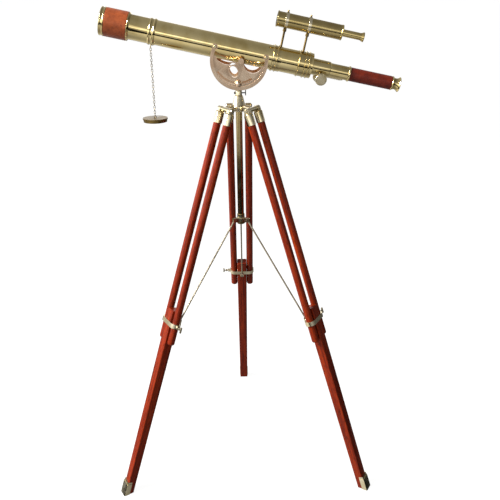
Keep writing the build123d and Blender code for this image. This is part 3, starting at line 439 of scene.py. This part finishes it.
def rods(leg):
    """Two turned sticks: circles of the rod's radius carried down the leg, each end closing on
    the axis, the lower end by a quarter ellipse."""
    hinge, down, along_hinge, outwards = leg_frame(leg)
    ease = np.linspace(0, pi / 2, 7)
    end_radius = ROD_RADIUS - 5.5 * MM + 5.5 * MM * np.cos(ease)
    end_down = ROD_BOTTOM - 5.5 * MM + 5.5 * MM * np.sin(ease)
    down_at = np.concatenate([[ROD_TOP, ROD_TOP], np.linspace(ROD_TOP + 0.03, ROD_BOTTOM - 0.03, 12), end_down,
                              [ROD_BOTTOM]])
    radius_at = np.concatenate([[0, ROD_RADIUS], np.full(12, ROD_RADIUS), end_radius, [0]])
    turn = np.linspace(0, 2 * pi, 40, endpoint=False)
    d, a = np.meshgrid(down_at, turn, indexing="ij")
    r = np.repeat(radius_at[:, None], len(turn), axis=1)
    verts, faces, places = [], [], []
    for side in (-1, 1):
        x = side * ROD_APART / 2 + r * np.cos(a)
        y = r * np.sin(a)
        verts.append((hinge + d[..., None] * down + x[..., None] * along_hinge
                      + y[..., None] * outwards).reshape(-1, 3))
        places.append(np.stack([x + LEGS[leg], y + side, d], axis=-1).reshape(-1, 3))
        faces.append(grid_faces(len(down_at), len(turn), False, True)
                     + (side > 0) * d.size)
    piece = mesh_object(f"leg_{leg}_turned_rods", np.concatenate(verts), np.concatenate(faces),
                        np.concatenate(places))
    return finish_piece(piece, f"leg_{leg}_rods")


def bar(leg):
    """A planed bar: a rounded rectangle carried down the leg, narrowing by the taper's tangent
    below the rods, its ends closed to their middles and the foot cut along the floor."""
    hinge, down, along_hinge, outwards = leg_frame(leg)
    corner = 3 * MM
    arc = np.linspace(0, pi / 2, 6)
    quarter = np.stack([np.cos(arc), np.sin(arc)], axis=1)
    half = np.array([BAR_WIDTH / 2 - corner, BAR_THICK / 2 - corner])
    corners = []
    for k, signs in enumerate(((1, 1), (-1, 1), (-1, -1), (1, -1))):
        turn = k * pi / 2
        rotated = quarter @ np.array([[cos(turn), sin(turn)], [-sin(turn), cos(turn)]])
        corners.append(rotated * corner + half * signs)
    section = np.concatenate(corners)
    length = HINGE_HEIGHT / cos(LEG_LEAN)
    foot = length + 8 * MM
    down_at = np.concatenate([[BAR_TOP, BAR_TOP, BAR_TOP + 1 * MM], np.linspace(BAR_TOP + 0.03, ROD_BOTTOM, 4),
                              np.linspace(ROD_BOTTOM + 0.04, length - 0.03, 16), [foot, foot]])
    shrink = np.maximum(down_at - ROD_BOTTOM, 0) * tan(radians(BAR_TAPER))
    scale = np.ones(len(down_at))
    scale[0] = scale[-1] = 0.0
    inset = np.zeros(len(down_at))
    inset[1] = 0.8 * MM
    size = np.array([BAR_WIDTH / 2, BAR_THICK / 2])
    shape = section[None] * (1 - (shrink + inset)[:, None, None] / size) * scale[:, None, None]
    d = np.repeat(down_at[:, None], len(section), axis=1)
    verts = (hinge + d[..., None] * down + shape[..., 0:1] * along_hinge
             + shape[..., 1:2] * outwards)
    over = np.minimum(verts[..., 2], 0.0) / down[2]
    verts = verts - over[..., None] * down
    d = d - over
    place = np.stack([shape[..., 0] + LEGS[leg] + 3.0, shape[..., 1], d], axis=-1)
    faces = grid_faces(len(down_at), len(section), False, True)
    piece = mesh_object(f"lower_leg_{leg}_planed_bar", verts, faces, place)
    return finish_piece(piece, f"lower_leg_{leg}_bar")


for leg in LEGS:
    rods(leg)
    bar(leg)
    for part in ("ferrules", "clamp_band", "pins", "clamp_screw"):
        dressed(f"leg_{leg}_{part}")
    dressed(f"lower_leg_{leg}_shoe")
    dressed(f"stay_{leg}", edge=0.2 * MM)

tubes = {}
for part in ("head_casting", "column_tube", "column_stop_cap", "neck_stop_screw",
             "neck_thumbscrew", "stay_hub", "hub_pins", "yoke_post", "clamp_bolt",
             "clamp_ball_knob", "half_moon_cheeks", "lug_screws", "focus_rack", "focus_pinion",
             "focus_knobs", "focuser_sleeve", "finder_rings", "finder_posts", "middle_ring",
             "barrel_collars", "dust_cap", "cap_chain", "objective_cell", "eyecup",
             "eyepiece_tube", "draw_tube", "finder_tube", "finder_draw_tube", "front_tube",
             "main_barrel", "objective_lenses", "eyepiece_lens", "finder_eye_lens"):
    left_sharp = "lens" in part or "chain" in part
    tubes[part] = dressed(part, edge=0.0 if left_sharp else 0.4 * MM)


# ---- leather ---------------------------------------------------------------------------------
SEAM_AT = pi             # the sleeves are sewn along their undersides
SEAM_WIDTH = 0.9 * MM
SEAM_DEPTH = 0.55 * MM
THREAD_RADIUS = 0.38 * MM
STITCH_REACH = 2.4 * MM  # from the seam to where a stitch enters the hide
STITCH_STEP = 5.5 * MM


def hide_surface(seed, waves, height):
    """A hide never lies quite true: the radius loses a sum of sines of the angle and length. The
    seam is a groove whose depth falls off as exp(-(distance / width) squared)."""
    rng = np.random.default_rng(seed)
    phases = rng.uniform(0, 2 * pi, (waves, 2))
    rates = rng.integers(1, 6, waves)
    lengths = rng.uniform(25, 90, waves)

    def ripple(along, turn, distance):
        swell = sum(np.sin(rates[k] * turn + phases[k, 0]) * np.sin(along * lengths[k]
                    + phases[k, 1]) for k in range(waves)) / waves
        from_seam = (turn - SEAM_AT) * distance.max()
        groove = SEAM_DEPTH * np.exp(-(from_seam / SEAM_WIDTH) ** 2)
        outer = distance > distance.max() - 1.2 * MM
        return np.where(outer, -height * (0.6 + swell * 0.6) - groove, 0.0)
    return ripple


def stitches(name, leather_node, start, end, radius):
    """A row of stitches across the seam: each is a round thread whose middle line rises over the
    seam as a cosine hump and dips into the hide at both ends."""
    across = np.linspace(-1, 1, 11)
    around = np.linspace(0, 2 * pi, 10, endpoint=False)
    count = int((end - start - 6 * MM) / STITCH_STEP)
    stations = np.linspace(start + 4 * MM, end - 4 * MM, count)
    lift = radius + THREAD_RADIUS * (1.9 * np.cos(across * pi / 2) - 1.3)
    angle = SEAM_AT + across * STITCH_REACH / radius
    outwards = (np.cos(angle)[:, None] * SCOPE_UP
                + np.sin(angle)[:, None] * np.cross(SCOPE_AXIS, SCOPE_UP))
    thin = np.sqrt(np.maximum(1 - across ** 6, 0.0)) * THREAD_RADIUS
    verts, faces = [], []
    for k, station in enumerate(stations):
        centre = (SCOPE_CENTRE + (station + 0.3 * STITCH_STEP * across[:, None] / 2) * SCOPE_AXIS
                  + lift[:, None] * outwards)
        ring = (centre[:, None] + (thin[:, None] * np.cos(around))[..., None] * outwards[:, None]
                + (thin[:, None] * np.sin(around))[..., None] * SCOPE_AXIS)
        verts.append(ring.reshape(-1, 3))
        faces.append(grid_faces(len(across), len(around), False, True) + k * ring[..., 0].size)
    piece = mesh_object(name, np.concatenate(verts), np.concatenate(faces))
    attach(piece, body_of_node[leather_node])
    piece.data.materials.append(stitch_thread)


def wrap(name, leather_node, start, end, radius, thick, seed):
    """A leather sleeve: a lathe outline with rolled edges, its length cut fine enough for the
    hide's swell."""
    inner = radius - thick
    stations = np.linspace(start + 2 * MM, end - 2 * MM, 40)
    outline = [(start, inner), (start, radius - 1.3 * MM), (start + 0.9 * MM, radius - 0.2 * MM)]
    outline += [(s, radius) for s in stations]
    outline += [(end - 0.9 * MM, radius - 0.2 * MM), (end, radius - 1.3 * MM), (end, inner)]
    piece = spun(name, outline, SCOPE_CENTRE, SCOPE_AXIS, SCOPE_UP, 0.5 * MM, around=AROUND * 3,
                 ripple=hide_surface(seed, 5, 0.18 * MM))
    stitches(name + "_stitches", leather_node, start, end, radius)
    return finish_piece(piece, leather_node)


wrap("front_leather_sleeve", "front_leather_wrap", WRAP_START, WRAP_END, WRAP_RADIUS, WRAP_THICK,
     3)
wrap("grip_leather_sleeve", "eyepiece_leather_grip", GRIP_START, GRIP_END, GRIP_RADIUS,
     GRIP_THICK, 8)


# ---- tubes painted black inside ----------------------------------------------------------------
FINDER_UP = 0.115        # finder axis above the telescope's axis


def blacken_inside(piece, axis_height, bore):
    """The faces of a tube that look towards its axis, and lie within the bore, are painted."""
    centre = SCOPE_CENTRE + axis_height * SCOPE_UP
    piece.data.materials.append(inside_black)
    for face in piece.data.polygons:
        out = np.array(face.center) - centre
        out -= SCOPE_AXIS * (out @ SCOPE_AXIS)
        distance = np.linalg.norm(out)
        if distance < bore and np.array(face.normal) @ out < -0.5 * distance:
            face.material_index = 1


for tube, axis_height, bore in (("main_barrel", 0.0, 0.0355), ("front_tube", 0.0, 0.0365),
                                ("draw_tube", 0.0, 0.0195), ("eyepiece_tube", 0.0, 0.0175),
                                ("focuser_sleeve", 0.0, 0.0205),
                                ("finder_tube", FINDER_UP, 0.0210),
                                ("finder_draw_tube", FINDER_UP, 0.0097)):
    blacken_inside(tubes[tube], axis_height, bore)

# ---- studio ------------------------------------------------------------------------------------
scene = bpy.context.scene
scene.view_settings.view_transform = "Standard"
scene.view_settings.look = "None"

FLOOR_HALF = 500.0
floor_mesh = bpy.data.meshes.new("studio_floor")
floor_mesh.from_pydata([(-FLOOR_HALF, -FLOOR_HALF, 0), (FLOOR_HALF, -FLOOR_HALF, 0),
                        (FLOOR_HALF, FLOOR_HALF, 0), (-FLOOR_HALF, FLOOR_HALF, 0)], [],
                       [(0, 1, 2, 3)])
floor = bpy.data.objects.new("studio_floor", floor_mesh)
scene.collection.objects.link(floor)
floor_material, tree, shader = new_material("lit_white_floor")
shader.inputs["Base Color"].default_value = linear("#6E6E6C")
shader.inputs["Roughness"].default_value = 0.9
shader.inputs["Specular IOR Level"].default_value = 0.0
shader.inputs["Emission Color"].default_value = linear("#FFFFFF")
shader.inputs["Emission Strength"].default_value = 0.93
floor_mesh.materials.append(floor_material)
floor.visible_diffuse = False       # its bounce comes from the lower half of the world instead
floor.visible_glossy = False

world = bpy.data.worlds.new("studio")
world.use_nodes = True
scene.world = world
tree = world.node_tree
tree.nodes.clear()
sky_at = node(tree, "ShaderNodeTexCoord")
parts = node(tree, "ShaderNodeSeparateXYZ", links={"Vector": sky_at.outputs["Generated"]})
height = node(tree, "ShaderNodeMapRange", inputs={"From Min": -1.0, "From Max": 1.0},
              links={"Value": parts.outputs["Z"]})
# lit paper below, a dark wall round the horizon, a soft ceiling above
dome = ramp_of(tree, height.outputs["Result"],
               [(0.0, grey(0.30)), (0.20, grey(0.80)), (0.265, grey(0.90)), (0.28, grey(0.01)),
                (0.37, grey(0.01)), (0.39, grey(0.45)), (0.50, grey(0.75)), (0.53, grey(2.1)),
                (0.60, grey(2.1)), (0.65, grey(0.60)), (0.80, grey(0.50)), (1.0, grey(0.42))])
sides = node(tree, "ShaderNodeMapRange",
             inputs={"From Min": -0.9, "From Max": 0.9, "To Min": 1.5, "To Max": 0.2},
             links={"Value": parts.outputs["X"]})
background = node(tree, "ShaderNodeBackground",
                  links={"Color": dome.outputs["Color"], "Strength": sides.outputs["Result"]})
node(tree, "ShaderNodeOutputWorld", links={"Surface": background.outputs["Background"]})


def softbox(name, place, target, size, power):
    """A rectangular area light facing its target."""
    light = bpy.data.lights.new(name, "AREA")
    light.shape = "RECTANGLE"
    light.size, light.size_y = size
    light.energy = power
    lamp = bpy.data.objects.new(name, light)
    lamp.location = place
    facing = Vector(target) - Vector(place)
    lamp.rotation_euler = facing.to_track_quat("-Z", "Y").to_euler()
    scene.collection.objects.link(lamp)


softbox("key_softbox", (-2.8, -0.9, 3.4), (0, 0, 0.8), (1.0, 1.6), 330)

camera_data = bpy.data.cameras.new("camera")
camera_data.sensor_width = 36.0
camera_data.lens = 47.0
camera_data.clip_end = 2000.0
camera = bpy.data.objects.new("camera", camera_data)
scene.collection.objects.link(camera)
pitch, heading, roll = radians(22.45), radians(0.8), radians(-0.77)
camera.matrix_world = (Matrix.Translation((0.0, -2.098, 1.698))
                       @ Matrix.Rotation(-heading, 4, "Z")
                       @ Matrix.Rotation(pi / 2 - pitch, 4, "X")
                       @ Matrix.Rotation(roll, 4, "Z"))
scene.camera = camera
